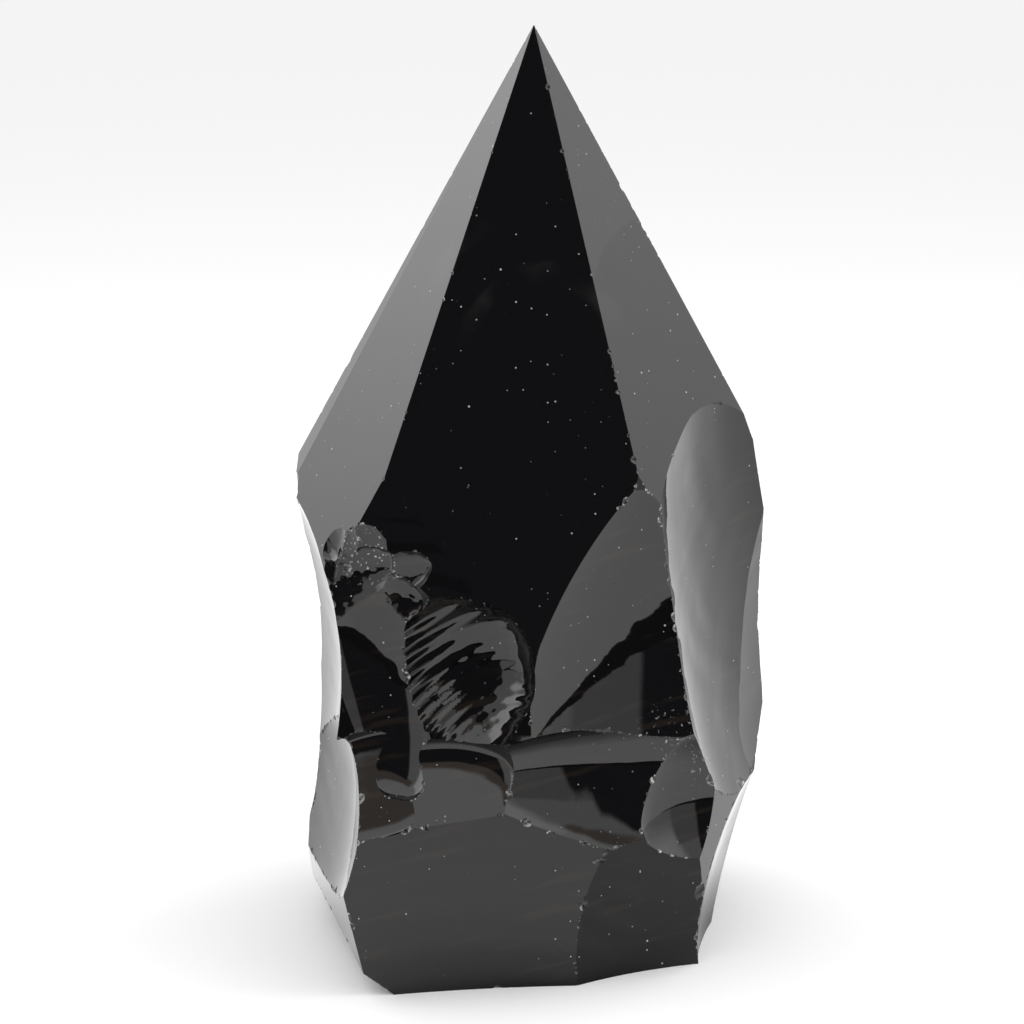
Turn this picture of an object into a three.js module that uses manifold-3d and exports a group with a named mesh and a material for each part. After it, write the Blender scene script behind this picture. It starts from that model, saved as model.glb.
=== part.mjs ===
// A polished obsidian point: one piece of black volcanic glass, millimetres, +Z up.
// The upper half is ground into flat polished facets that meet at the tip. The lower half is
// left as it was struck, so it is a set of hollow flake scars that meet in sharp ridges.
// It is built the same way: a block is trimmed by planes, then flakes are struck off it.

import * as THREE from 'three';
import { mergeVertices } from 'three/addons/utils/BufferGeometryUtils.js';
import Module from 'manifold-3d';

// ---- driving dimensions ----

const HEIGHT = 180;
const BLOCK = [130, 130, 200]; // the rough block before trimming
const TOOL = 400; // side of a trimming tool
const FACET_EDGE = 4.2; // length of a triangle's side on a flake scar
const LENS_BACK = 30; // how far a flake's lens reaches outward of its rim
const LEAST_STEPS = 14; // the fewest steps along half of a small scar's outline
const MOST_STEPS = 44; // the most steps along half of a large scar's outline
const TO_CENTRE = [-3.85, 4.9, 0]; // brings the middle of the footprint onto the origin

const TIP = [4.2, 0, HEIGHT];

// A plane faces outward by its azimuth (0 is the front, -Y; 90 is the right, +X) and its tilt
// above the horizon, in degrees.
const POLISHED_FACETS = [
  { name: 'front', at: TIP, azimuth: 0, tilt: 20 },
  { name: 'left', at: TIP, azimuth: -63, tilt: 25.3 },
  { name: 'right', at: TIP, azimuth: 52, tilt: 22.5 },
  { name: 'left sliver', at: TIP, azimuth: -92, tilt: 29 },
  { name: 'back right', at: TIP, azimuth: 118, tilt: 26 },
  { name: 'back', at: TIP, azimuth: 178, tilt: 22 },
  { name: 'back left', at: TIP, azimuth: -125, tilt: 26 },
  { name: 'left edge', at: TIP, azimuth: -78, tilt: 27.35 },
  { name: 'left shoulder', at: [-42.9, 6.3, 97.3], azimuth: -91.6, tilt: 4 },
  { name: 'right shoulder', at: [44.2, 6.8, 113.9], azimuth: 98, tilt: 11 },
];

const BROKEN_FACES = [
  { name: 'front bridge', at: [24.3, -29.2, 100.5], azimuth: 28, tilt: 10 },
  { name: 'right flank', at: [49.2, 20, 75], azimuth: 95, tilt: 0 },
  { name: 'right foot', at: [49.3, 20, 40], azimuth: 92, tilt: -14 },
  { name: 'left foot', at: [-37.5, -28, 22], azimuth: -76, tilt: -13 },
  { name: 'left heel', at: [-40.7, -8, 19], azimuth: -93, tilt: -2 },
  { name: 'left undercut', at: [-22.9, -44.8, 0], azimuth: -82, tilt: -52 },
  { name: 'front rough', at: [0, -48, 30], azimuth: 2, tilt: 0 },
  { name: 'front left rough', at: [-32.4, -38.4, 60], azimuth: -45, tilt: 10 },
  { name: 'front right rough', at: [37.5, -31, 25], azimuth: 62, tilt: -2 },
  { name: 'back rough', at: [0, 38, 30], azimuth: 180, tilt: 2 },
  { name: 'back left rough', at: [-36, 32, 40], azimuth: -140, tilt: 0 },
  { name: 'back right rough', at: [40, 34, 40], azimuth: 140, tilt: 0 },
  { name: 'resting face', at: [0, 0, 0], azimuth: 0, tilt: -90 },
];

// The ledge is a nearly flat shelf that the hollows above it stop at.
const LEDGE = { at: [-12, -39, 43], azimuth: -3, tilt: 42 };

// A flake scar is the mark of a lens of glass struck off the block. Its deepest point is `at`, where
// it faces by azimuth and tilt, with its long axis rolled from upright towards the right. `radii` are
// the radii of curvature along and across that axis, and `rise` is half the lens's thickness. Its upper
// end is wider than its middle by `taper`. `square` is 2 for an oval outline and more for a boxier
// one; `flat` is 2 for a round hollow and more for one that is flat in the middle.
const FLAKE_SCARS = [
  { name: 'front flat', at: [-19, -32.2, 91], azimuth: -16, tilt: 6.6, roll: 0,
    radii: [2000, 1200], rise: 3,
    above: [LEDGE] },
  { name: 'ledge', at: [-18.5, -42.6, 37.6], azimuth: 4, tilt: 43, roll: 90,
    radii: [60, 18], rise: 7,
    square: 2.8, flat: 5 },
  { name: 'ledge left', at: [-27, -39.2, 38.6], azimuth: -18, tilt: 36, roll: 70,
    radii: [108, 40], rise: 3,
    flat: 6 },
  { name: 'foot front', at: [-6, -43, 16], azimuth: 8, tilt: 0, roll: 0,
    radii: [110, 200], rise: 30 },
  { name: 'foot right', at: [26, -34.5, 14], azimuth: 22, tilt: -7, roll: 20,
    radii: [60, 80], rise: 15 },
  { name: 'spoon', at: [17.4, -32.4, 71], azimuth: 27, tilt: 3, roll: 20,
    radii: [140, 44], rise: 20,
    taper: -0.5 },
  { name: 'trough', at: [34.9, -17.1, 67.3], azimuth: 68, tilt: 9, roll: -7,
    radii: [230, 70], rise: 14,
    square: 2.6 },
  { name: 'right side', at: [45.2, -1.8, 58], azimuth: 64, tilt: 5, roll: -10,
    radii: [110, 150], rise: 14 },
  { name: 'right tail', at: [44.5, -7, 22], azimuth: 72, tilt: -17, roll: 0,
    radii: [90, 120], rise: 14 },
  { name: 'groove', at: [18.5, -36.6, 34.8], azimuth: 14, tilt: 24, roll: 103,
    radii: [120, 30], rise: 7,
    taper: 0.4, square: 2.4 },
  { name: 'groove end', at: [33.5, -29.7, 33], azimuth: 22, tilt: 8, roll: 0,
    radii: [26, 20], rise: 10 },
  { name: 'shell hollow', at: [-10, -30, 57], azimuth: -2, tilt: 19, roll: 0,
    radii: [25, 22], rise: 10 },
  { name: 'left hollow', at: [-25, -30.6, 60.5], azimuth: -8, tilt: 8, roll: -15,
    radii: [80, 17], rise: 8 },
  { name: 'left side', at: [-34.8, -8, 58], azimuth: -80, tilt: 0, roll: 0,
    radii: [76, 150], rise: 20 },
  { name: 'left heel side', at: [-38.7, -6, 43], azimuth: -94, tilt: 0, roll: 0,
    radii: [120, 200], rise: 8 },
  { name: 'left foot side', at: [-34.9, -24, 22], azimuth: -76, tilt: 18, roll: 0,
    radii: [80, 160], rise: 8 },
  { name: 'back left side', at: [-36, 12, 50], azimuth: -114, tilt: -4, roll: 0,
    radii: [170, 120], rise: 18 },
  { name: 'left chip 2', at: [-30, -28.3, 82], azimuth: -45, tilt: 5, roll: -40,
    radii: [26, 16], rise: 3 },
  { name: 'left chip 5', at: [-32.5, -25.6, 88], azimuth: -60, tilt: -5, roll: 10,
    radii: [20, 12], rise: 3 },
  { name: 'back left', at: [-24, 30, 40], azimuth: -150, tilt: 2, roll: 12,
    radii: [200, 110], rise: 20 },
  { name: 'back middle', at: [7, 33.5, 56], azimuth: 176, tilt: 4, roll: -10,
    radii: [220, 150], rise: 20 },
  { name: 'back right', at: [35.5, 24.5, 52], azimuth: 132, tilt: 2, roll: 8,
    radii: [240, 130], rise: 20 },
  { name: 'back foot', at: [14, 33.5, 12], azimuth: 168, tilt: -12, roll: 80,
    radii: [160, 70], rise: 12 },
  { name: 'back low left', at: [-30, 25, 12], azimuth: -136, tilt: -14, roll: 70,
    radii: [110, 90], rise: 12 },
  { name: 'back low right', at: [36, 26, 14], azimuth: 128, tilt: -12, roll: 100,
    radii: [120, 100], rise: 12 },
  { name: 'right flank side', at: [46.6, 22, 50], azimuth: 97, tilt: 1, roll: 6,
    radii: [300, 130], rise: 20 },
  { name: 'right flank low', at: [45, 18, 14], azimuth: 94, tilt: -14, roll: 85,
    radii: [160, 110], rise: 12 },
  { name: 'back top', at: [-10, 34.5, 86], azimuth: -166, tilt: 8, roll: 30,
    radii: [90, 110], rise: 10 },
];

// ---- directions ----

// The unit vector that a face with this azimuth and tilt looks along.
function outward({ azimuth, tilt }) {
  const turn = THREE.MathUtils.degToRad(azimuth);
  const lift = THREE.MathUtils.degToRad(tilt);
  return new THREE.Vector3(
    Math.sin(turn) * Math.cos(lift),
    -Math.cos(turn) * Math.cos(lift),
    Math.sin(lift),
  );
}

// A placement whose Z axis looks out of the face and whose Y axis is the face's rolled uphill.
function facing(face, origin) {
  const out = outward(face);
  const level = new THREE.Vector3(-out.y, out.x, 0);
  const side = level.lengthSq() > 0 ? level.normalize() : new THREE.Vector3(1, 0, 0);
  const roll = THREE.MathUtils.degToRad(face.roll ?? 0);
  const along = new THREE.Vector3().crossVectors(out, side).multiplyScalar(Math.cos(roll));
  along.addScaledVector(side, Math.sin(roll));
  const across = new THREE.Vector3().crossVectors(along, out);
  return new THREE.Matrix4().makeBasis(across, along, out).setPosition(origin);
}

// ---- solids ----

const wasm = await Module();
wasm.setup();

function welded(geometry) {
  geometry.deleteAttribute('normal');
  geometry.deleteAttribute('uv');
  return mergeVertices(geometry);
}

function solidOf(geometry) {
  const merged = welded(geometry);
  return new wasm.Manifold(new wasm.Mesh({
    numProp: 3,
    vertProperties: new Float32Array(merged.attributes.position.array),
    triVerts: new Uint32Array(merged.index.array),
  }));
}

// Everything on the outer side of a plane, as far as a tool reaches.
function outsideOf(plane) {
  const middle = new THREE.Vector3(...plane.at).addScaledVector(outward(plane), TOOL / 2);
  const box = new THREE.BoxGeometry(TOOL, TOOL, TOOL);
  return solidOf(box.applyMatrix4(facing(plane, middle)));
}

// Turns a unit ball into a scar's lens: hollow below its rim, and tall above it to clear the block.
function shapeLens(ball, { radii, rise, taper = 0, square = 2, flat = 2 }) {
  const across = Math.sqrt(radii[1] * rise);
  const along = Math.sqrt(radii[0] * rise);
  const spot = new THREE.Vector3();
  const { position } = ball.attributes;
  for (let i = 0; i < position.count; i += 1) {
    spot.fromBufferAttribute(position, i);
    const reach = Math.min(Math.hypot(spot.x, spot.y), 1);
    const lean = reach > 0 ? (Math.abs(spot.x) ** square + Math.abs(spot.y) ** square) ** (1 / square) : 1;
    const boxy = reach > 0 ? reach / lean : 1;
    const hollow = (1 - reach ** flat) ** (1 / flat);
    position.setXYZ(
      i,
      spot.x * boxy * (1 + taper * spot.y) * across,
      spot.y * boxy * along,
      spot.z < 0 ? -hollow * rise : spot.z * LENS_BACK,
    );
  }
  return ball;
}

// The lens that leaves a scar, kept to the outer side of each plane in `above`.
function flake(scar) {
  const steps = scar.radii.map((radius) => Math.round((Math.PI * Math.sqrt(radius * scar.rise)) / FACET_EDGE));
  const [rings, halfRound] = steps.map((count) => Math.max(LEAST_STEPS, Math.min(count, MOST_STEPS)));
  const centre = new THREE.Vector3(...scar.at).addScaledVector(outward(scar), scar.rise);
  const lens = shapeLens(welded(new THREE.SphereGeometry(1, 2 * halfRound, rings)), scar);
  const whole = solidOf(lens.applyMatrix4(facing(scar, centre)));
  return (scar.above ?? []).reduce((rest, plane) => rest.intersect(outsideOf(plane)), whole);
}

function roughBlock() {
  return solidOf(new THREE.BoxGeometry(...BLOCK).translate(0, 0, BLOCK[2] / 2));
}

function knappedPoint() {
  const trims = [...POLISHED_FACETS, ...BROKEN_FACES].map(outsideOf);
  const cuts = [...trims, ...FLAKE_SCARS.map(flake)];
  return cuts.reduce((rest, cut) => rest.subtract(cut), roughBlock());
}

function geometryOf(solid) {
  const { vertProperties, triVerts } = solid.getMesh();
  const geometry = new THREE.BufferGeometry();
  geometry.setAttribute('position', new THREE.BufferAttribute(vertProperties, 3));
  geometry.setIndex(new THREE.BufferAttribute(triVerts, 1));
  geometry.translate(...TO_CENTRE);
  geometry.computeVertexNormals();
  return geometry;
}

// ---- the object ----

const blackGlass = new THREE.MeshStandardMaterial({
  color: 0x08080a,
  roughness: 0.06,
  metalness: 0,
  flatShading: true,
});

const point = new THREE.Mesh(geometryOf(knappedPoint()), blackGlass);
point.name = 'obsidian_point';

const group = new THREE.Group();
group.add(point);

export default group;
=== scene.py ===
"""A polished obsidian point: flat ground facets above, hollow struck scars below.

The stone is made the way the real one is. A block is ground flat by planes that meet at the tip,
then flakes are struck off its lower half. Each flake leaves a hollow with conchoidal ripples,
and small chips wear the edges between them. Sizes of the stone are in millimetres.
"""

import logging
import math
from dataclasses import dataclass, field
from enum import Enum

import bmesh
import bpy
import numpy as np
from mathutils import Matrix, Vector


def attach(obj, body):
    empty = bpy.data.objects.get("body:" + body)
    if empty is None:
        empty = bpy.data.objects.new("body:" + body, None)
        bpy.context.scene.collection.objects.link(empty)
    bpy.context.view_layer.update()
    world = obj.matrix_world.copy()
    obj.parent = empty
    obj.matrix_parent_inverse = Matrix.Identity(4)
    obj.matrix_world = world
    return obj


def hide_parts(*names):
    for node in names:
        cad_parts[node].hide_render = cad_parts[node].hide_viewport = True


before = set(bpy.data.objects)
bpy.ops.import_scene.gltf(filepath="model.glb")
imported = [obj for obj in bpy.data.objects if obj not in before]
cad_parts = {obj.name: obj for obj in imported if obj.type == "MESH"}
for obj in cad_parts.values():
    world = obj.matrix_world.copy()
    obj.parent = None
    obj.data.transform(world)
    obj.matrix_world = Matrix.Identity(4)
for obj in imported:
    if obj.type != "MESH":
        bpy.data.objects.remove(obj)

LOG = logging.getLogger("obsidian_point")
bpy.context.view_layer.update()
MM = 0.001
NODE = "obsidian_point"
WHITE = (1.0, 1.0, 1.0, 1.0)

TIP = (4.2, 0.0, 180.0)
BLOCK_MM = (130.0, 130.0, 200.0)  # the rough block, before it is trimmed
TO_CENTRE_MM = Vector((-3.85, 4.9, 0.0))  # brings the middle of the footprint onto the origin
LENS_BACK_MM = 30.0  # how far a flake's lens reaches out of its rim
SHARP_TURN = 25.0  # degrees between two faces of one scar that leave a sharp edge
WHOLE_TURN = 6.28  # radians
OFF_CENTRE = 1e-4  # keeps a lens's middle off its own axis, where it has no bearing
TINY = 1e-9  # keeps a root or a divisor above zero

SCAR_ID = "scar_id"  # face attribute: -1 and less for flat cuts, 1 and more for scars
CHIP_ID = 1000  # the number of every small chip
EDGE_OUT = "edge_out"  # point attribute: the way that an edge faces
EDGE_WEAR = "edge_wear"  # point attribute: how worn an edge is


# ---------------------------------------------------------------- planes and scars


class Skin(Enum):
    """Which finish a face of the stone has."""

    POLISHED = 0
    STRUCK = 1
    CRUSHED = 2


@dataclass(frozen=True)
class Plane:
    """A plane that faces outward by azimuth (0 is the front, 90 the right) and tilt, in degrees."""

    name: str
    at: tuple[float, float, float]
    azimuth: float
    tilt: float

    def outward(self) -> Vector:
        """Return the unit vector that the plane faces along."""
        turn, lift = math.radians(self.azimuth), math.radians(self.tilt)
        return Vector((math.sin(turn) * math.cos(lift), -math.cos(turn) * math.cos(lift), math.sin(lift)))


@dataclass(frozen=True)
class Ripples:
    """The relief of one scar, in millimetres.

    The strike point is given in half sizes of the scar: across it, and up its long axis. Rings of
    a height and length run round it, and streaks fan out of it, over a broad swell and a rough
    hackle. The scar's outline wanders from an even oval by `wander`.
    """

    strike: tuple[float, float] = (0.0, 1.2)
    height: float = 0.02
    length: float = 7.0
    streaks: float = 0.01
    swell: float = 0.3
    hackle: float = 0.0
    wander: float = 1.0


@dataclass(frozen=True)
class Scar:
    """The hollow that one flake leaves: the mark of a long lens of glass struck off the block.

    Its deepest point is `at`, where it faces by azimuth and tilt, with its long axis rolled from
    upright towards the right. The lens has two radii of curvature, along and across, and half a
    thickness `rise`. Its upper end is wider than its middle by `taper`, and `square` is 2 for an
    oval outline and more for a boxier one. `flat` is 2 for a round hollow and more for one that is
    flat in the middle and steep at its rim. `grain` makes its mesh coarser, and the lens is kept
    to the outer side of each plane in `above`.
    """

    name: str
    at: tuple[float, float, float]
    azimuth: float
    tilt: float
    roll: float
    radii: tuple[float, float]
    rise: float
    taper: float = 0.0
    square: float = 2.0
    flat: float = 2.0
    grain: float = 1.0
    ripples: Ripples = field(default_factory=Ripples)
    above: tuple[Plane, ...] = ()
    skin: Skin = Skin.STRUCK

    def half_sizes(self) -> Vector:
        """Work out how large the lens is.

        Returns:
            Its half sizes across, along and out of the scar.
        """
        along = math.sqrt(self.radii[0] * self.rise)
        across = math.sqrt(self.radii[1] * self.rise)
        return Vector((across, along, self.rise))

    def placement(self) -> Matrix:
        """Work out where the lens goes.

        Returns:
            Its place, with X across, Y along and Z out of the scar.
        """
        out = Plane(self.name, self.at, self.azimuth, self.tilt).outward()
        side = Vector((-out.y, out.x, 0.0)).normalized()
        uphill = out.cross(side)
        roll = math.radians(self.roll)
        along = uphill * math.cos(roll) + side * math.sin(roll)
        turn = Matrix((along.cross(out), along, out)).transposed().to_4x4()
        return Matrix.Translation(Vector(self.at) + out * self.rise) @ turn


POLISHED_FACETS = (
    Plane("front", TIP, 0, 20),
    Plane("left", TIP, -63, 25.3),
    Plane("right", TIP, 52, 22.5),
    Plane("left_sliver", TIP, -92, 29),
    Plane("back_right", TIP, 118, 26),
    Plane("back", TIP, 178, 22),
    Plane("back_left", TIP, -125, 26),
    Plane("left_edge", TIP, -78, 27.35),
    Plane("left_shoulder", (-42.9, 6.3, 97.3), -91.6, 4),
    Plane("right_shoulder", (44.2, 6.8, 113.9), 98, 11),
)

BROKEN_FACES = (
    Plane("front_bridge", (24.3, -29.2, 100.5), 28, 10),
    Plane("right_flank", (49.2, 20, 75), 95, 0),
    Plane("right_foot", (49.3, 20, 40), 92, -14),
    Plane("left_foot", (-37.5, -28, 22), -76, -13),
    Plane("left_heel", (-40.7, -8, 19), -93, -2),
    Plane("left_undercut", (-22.9, -44.8, 0), -82, -52),
    Plane("front_rough", (0, -48, 30), 2, 0),
    Plane("front_left_rough", (-32.4, -38.4, 60), -45, 10),
    Plane("front_right_rough", (37.5, -31, 25), 62, -2),
    Plane("back_rough", (0, 38, 30), 180, 2),
    Plane("back_left_rough", (-36, 32, 40), -140, 0),
    Plane("back_right_rough", (40, 34, 40), 140, 0),
    Plane("resting_face", (0, 0, 0), 0, -90),
)

LEDGE = Plane("ledge", (-12, -39, 43), -3, 42)

SPLINTERS = Ripples(strike=(0.5, 1.0), height=0.06, length=2.6, streaks=0.05, swell=1.0, hackle=0.06,
                    wander=2.5)
BROAD = Ripples(strike=(0.3, 1.3), height=0.05, length=8, streaks=0.025, swell=0.7, wander=1.6)

FLAKE_SCARS = (
    Scar("front_flat", (-19, -32.2, 91), -16, 6.6, 0, (2000, 1200), 3, above=(LEDGE,),
         skin=Skin.POLISHED),
    Scar("ledge", (-18.5, -42.6, 37.6), 4, 43, 90, (60, 18), 7, square=2.8, flat=5),
    Scar("ledge_left", (-27, -39.2, 38.6), -18, 36, 70, (108, 40), 3, flat=6),
    Scar("foot_front", (-6, -43, 16), 8, 0, 0, (110, 200), 30,
         ripples=Ripples(height=0.004, streaks=0.003, swell=0.12)),
    Scar("foot_right", (26, -34.5, 14), 22, -7, 20, (60, 80), 15),
    Scar("spoon", (17.4, -32.4, 71), 27, 3, 20, (140, 44), 20, taper=-0.5,
         ripples=Ripples(height=0.006, streaks=0.002, swell=0.1, wander=0.3)),
    Scar("trough", (34.9, -17.1, 67.3), 68, 9, -7, (230, 70), 14, square=2.6,
         ripples=Ripples(strike=(1.4, 0.6), height=0.05, length=12, streaks=0.04, swell=0.5)),
    Scar("right_side", (45.2, -1.8, 58), 64, 5, -10, (110, 150), 14),
    Scar("right_tail", (44.5, -7, 22), 72, -17, 0, (90, 120), 14),
    Scar("groove", (18.5, -36.6, 34.8), 14, 24, 103, (120, 30), 7, taper=0.4, square=2.4,
         ripples=Ripples(strike=(0.2, -1.2), streaks=0.02, wander=0.5)),
    Scar("groove_end", (33.5, -29.7, 33), 22, 8, 0, (26, 20), 10),
    Scar("shell_hollow", (-10, -30, 57), -2, 19, 0, (25, 22), 10, grain=0.5,
         ripples=Ripples(strike=(0.7, -1.0), height=0.26, length=2.6, streaks=0.06, swell=0.6,
                         hackle=0.15)),
    Scar("left_hollow", (-25, -30.6, 60.5), -8, 8, -15, (80, 17), 8, ripples=Ripples(wander=0.5)),
    Scar("left_side", (-34.8, -8, 58), -80, 0, 0, (76, 150), 20),
    Scar("left_heel_side", (-38.7, -6, 43), -94, 0, 0, (120, 200), 8, ripples=BROAD),
    Scar("left_foot_side", (-34.9, -24, 22), -76, 18, 0, (80, 160), 8),
    Scar("back_left_side", (-36, 12, 50), -114, -4, 0, (170, 120), 18, grain=1.3, ripples=BROAD),
    Scar("left_chip_1", (-26, -30.3, 86), -25, -5, 60, (30, 14), 3, grain=0.5, ripples=SPLINTERS),
    Scar("left_chip_2", (-30, -28.3, 82), -45, 5, -40, (26, 16), 3, grain=0.5, ripples=SPLINTERS),
    Scar("left_chip_3", (-23.4, -31.4, 80.5), 5, -10, 70, (24, 12), 2.5, grain=0.5, ripples=SPLINTERS),
    Scar("left_chip_4", (-29, -28.4, 76), -20, 12, 50, (30, 14), 3, grain=0.5, ripples=SPLINTERS),
    Scar("left_chip_5", (-32.5, -25.6, 88), -60, -5, 10, (20, 12), 3, grain=0.5, ripples=SPLINTERS),
    Scar("left_chip_6", (-24.5, -30.4, 74.5), 20, 10, -60, (20, 9), 2.5, grain=0.5, ripples=SPLINTERS),
    Scar("foot_nick", (36.6, -30.6, 14.5), 30, 0, 70, (9, 4), 2),
    Scar("left_corner", (-42.3, -2, 91), -95, -20, 0, (8, 8), 4),
    Scar("spall", (2.6, -40.5, 68.8), -2, 10, 14, (330, 16), 1.5,
         ripples=Ripples(strike=(0.2, -1.1), height=0.05, length=3, streaks=0.05)),
    Scar("back_left", (-24, 30, 40), -150, 2, 12, (200, 110), 20, grain=1.3, ripples=BROAD),
    Scar("back_middle", (7, 33.5, 56), 176, 4, -10, (220, 150), 20, grain=1.3, ripples=BROAD),
    Scar("back_right", (35.5, 24.5, 52), 132, 2, 8, (240, 130), 20, grain=1.3, ripples=BROAD),
    Scar("back_foot", (14, 33.5, 12), 168, -12, 80, (160, 70), 12, grain=1.3, ripples=BROAD),
    Scar("back_low_left", (-30, 25, 12), -136, -14, 70, (110, 90), 12, grain=1.3, ripples=BROAD),
    Scar("back_low_right", (36, 26, 14), 128, -12, 100, (120, 100), 12, grain=1.3, ripples=BROAD),
    Scar("right_flank_side", (46.6, 22, 50), 97, 1, 6, (300, 130), 20, grain=1.3, ripples=BROAD),
    Scar("right_flank_low", (45, 18, 14), 94, -14, 85, (160, 110), 12, grain=1.3, ripples=BROAD),
    Scar("back_top", (-10, 34.5, 86), -166, 8, 30, (90, 110), 10, grain=1.3, ripples=BROAD),
)


# ---------------------------------------------------------------- node building


class Wire:
    """A node's output socket that can be used in arithmetic; each step adds a Math node."""

    def __init__(self, bench: "Bench", socket: bpy.types.NodeSocket) -> None:
        """Wrap a socket.

        Args:
            bench: The bench whose tree the socket belongs to.
            socket: The output socket to wrap.
        """
        self.bench = bench
        self.socket = socket

    def _maths(self, operation: str, *values: "Wire | float") -> "Wire":
        """Return the result of one Math node."""
        return self.bench.add("ShaderNodeMath", {"operation": operation}, list(values))

    def __add__(self, other: "Wire | float") -> "Wire":
        """Return this plus other."""
        return self._maths("ADD", self, other)

    __radd__ = __add__

    def __mul__(self, other: "Wire | float") -> "Wire":
        """Return this times other."""
        return self._maths("MULTIPLY", self, other)

    __rmul__ = __mul__

    def __sub__(self, other: "Wire | float") -> "Wire":
        """Return this minus other."""
        return self._maths("SUBTRACT", self, other)

    def __rsub__(self, other: "Wire | float") -> "Wire":
        """Return other minus this."""
        return self._maths("SUBTRACT", other, self)

    def __truediv__(self, other: "Wire | float") -> "Wire":
        """Return this divided by other."""
        return self._maths("DIVIDE", self, other)

    def __rtruediv__(self, other: "Wire | float") -> "Wire":
        """Return other divided by this."""
        return self._maths("DIVIDE", other, self)

    def __pow__(self, other: "Wire | float") -> "Wire":
        """Return this to the power of other."""
        return self._maths("POWER", self, other)

    def sine(self) -> "Wire":
        """Return the sine of this."""
        return self._maths("SINE", self)

    def size(self) -> "Wire":
        """Return this without its sign."""
        return self._maths("ABSOLUTE", self)

    def between(self, low: float, high: float) -> "Wire":
        """Return a smooth step that goes from 0 at low to 1 at high."""
        values = {"Value": self, "From Min": low, "From Max": high}
        return self.bench.add("ShaderNodeMapRange", {"interpolation_type": "SMOOTHSTEP"}, values)


class Bench:
    """Adds nodes to one shader or Geometry Nodes tree."""

    def __init__(self, tree: bpy.types.NodeTree) -> None:
        """Keep the tree that nodes are added to.

        Args:
            tree: A shader or geometry node tree.
        """
        self.tree = tree

    def add(self, node_type: str, settings: dict | None = None, values: dict | list | None = None,
            output: str | int = 0) -> Wire:
        """Add one node, set it up, and return one of its outputs.

        Args:
            node_type: The node's bl_idname.
            settings: Properties of the node, set before its sockets.
            values: Constants or wires for its inputs, by name or in order.
            output: The name or number of the output that is returned.

        Returns:
            The wrapped output socket.
        """
        node = self.tree.nodes.new(node_type)
        for name, value in (settings or {}).items():
            setattr(node, name, value)
        pairs = values.items() if isinstance(values, dict) else enumerate(values or [])
        for key, value in pairs:
            self.put(node.inputs[key], value)
        return Wire(self, node.outputs[output] if len(node.outputs) else None)

    def split(self, vector: Wire) -> tuple[Wire, Wire, Wire]:
        """Take a vector apart.

        Args:
            vector: The vector.

        Returns:
            Its three parts.
        """
        node = self.tree.nodes.new("ShaderNodeSeparateXYZ")
        self.put(node.inputs[0], vector)
        return tuple(Wire(self, socket) for socket in node.outputs)

    def join(self, x: Wire | float, y: Wire | float, z: Wire | float) -> Wire:
        """Return a vector of three parts."""
        return self.add("ShaderNodeCombineXYZ", None, [x, y, z])

    def noise(self, place: Wire, scale: float, detail: float) -> Wire:
        """Return smooth noise that runs from about -0.5 to 0.5.

        Args:
            place: Where it is read.
            scale: How fine it is.
            detail: How many finer layers it has.

        Returns:
            The noise.
        """
        values = {"Vector": place, "Scale": scale, "Detail": detail}
        return self.add("ShaderNodeTexNoise", None, values) - 0.5

    def chance(self, seed: Wire | float, low: float, high: float) -> Wire:
        """Return a random number for each element.

        Args:
            seed: Which random series it is.
            low: The least value.
            high: The greatest value.

        Returns:
            The number.
        """
        values = {2: low, 3: high, "Seed": seed}
        return self.add("FunctionNodeRandomValue", {"data_type": "FLOAT"}, values, 1)

    def blend(self, amount: Wire, low: Wire | tuple, high: Wire | tuple) -> Wire:
        """Return a colour that goes from low to high."""
        return self.add("ShaderNodeMix", {"data_type": "RGBA"}, {0: amount, 6: low, 7: high}, 2)

    def put(self, socket: bpy.types.NodeSocket, value: object) -> None:
        """Link a wire to an input socket, or set its constant.

        Args:
            socket: The input socket.
            value: The wire or the constant.
        """
        if isinstance(value, Wire):
            self.tree.links.new(value.socket, socket)
        else:
            socket.default_value = value


class GeometryBench(Bench):
    """Adds nodes to a Geometry Nodes tree that has named inputs."""

    def __init__(self, name: str) -> None:
        """Start an empty tree with a geometry input and output.

        Args:
            name: The tree's name.
        """
        tree = bpy.data.node_groups.new(name, "GeometryNodeTree")
        tree.interface.new_socket("Geometry", in_out="OUTPUT", socket_type="NodeSocketGeometry")
        tree.interface.new_socket("Geometry", in_out="INPUT", socket_type="NodeSocketGeometry")
        super().__init__(tree)
        self.group_input = tree.nodes.new("NodeGroupInput")

    def take(self, name: str, kind: str, default: object) -> Wire:
        """Add a named input to the tree and return it as a wire.

        Args:
            name: The input's name.
            kind: Float, Int, Vector or Material.
            default: Its default value, or None.

        Returns:
            The input as a wire.
        """
        socket = self.tree.interface.new_socket(name, in_out="INPUT", socket_type=f"NodeSocket{kind}")
        if default is not None:
            socket.default_value = default
        return Wire(self, self.group_input.outputs[name])

    def geometry(self) -> Wire:
        """Return the geometry that comes in."""
        return Wire(self, self.group_input.outputs["Geometry"])

    def finish(self, geometry: Wire, material: Wire) -> None:
        """End the tree in Realize Instances and Set Material.

        Args:
            geometry: The geometry that goes out.
            material: The material input.
        """
        real = self.add("GeometryNodeRealizeInstances", None, [geometry])
        dressed = self.add("GeometryNodeSetMaterial", None, {"Geometry": real, "Material": material})
        end = self.tree.nodes.new("NodeGroupOutput")
        self.put(end.inputs[0], dressed)


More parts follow.
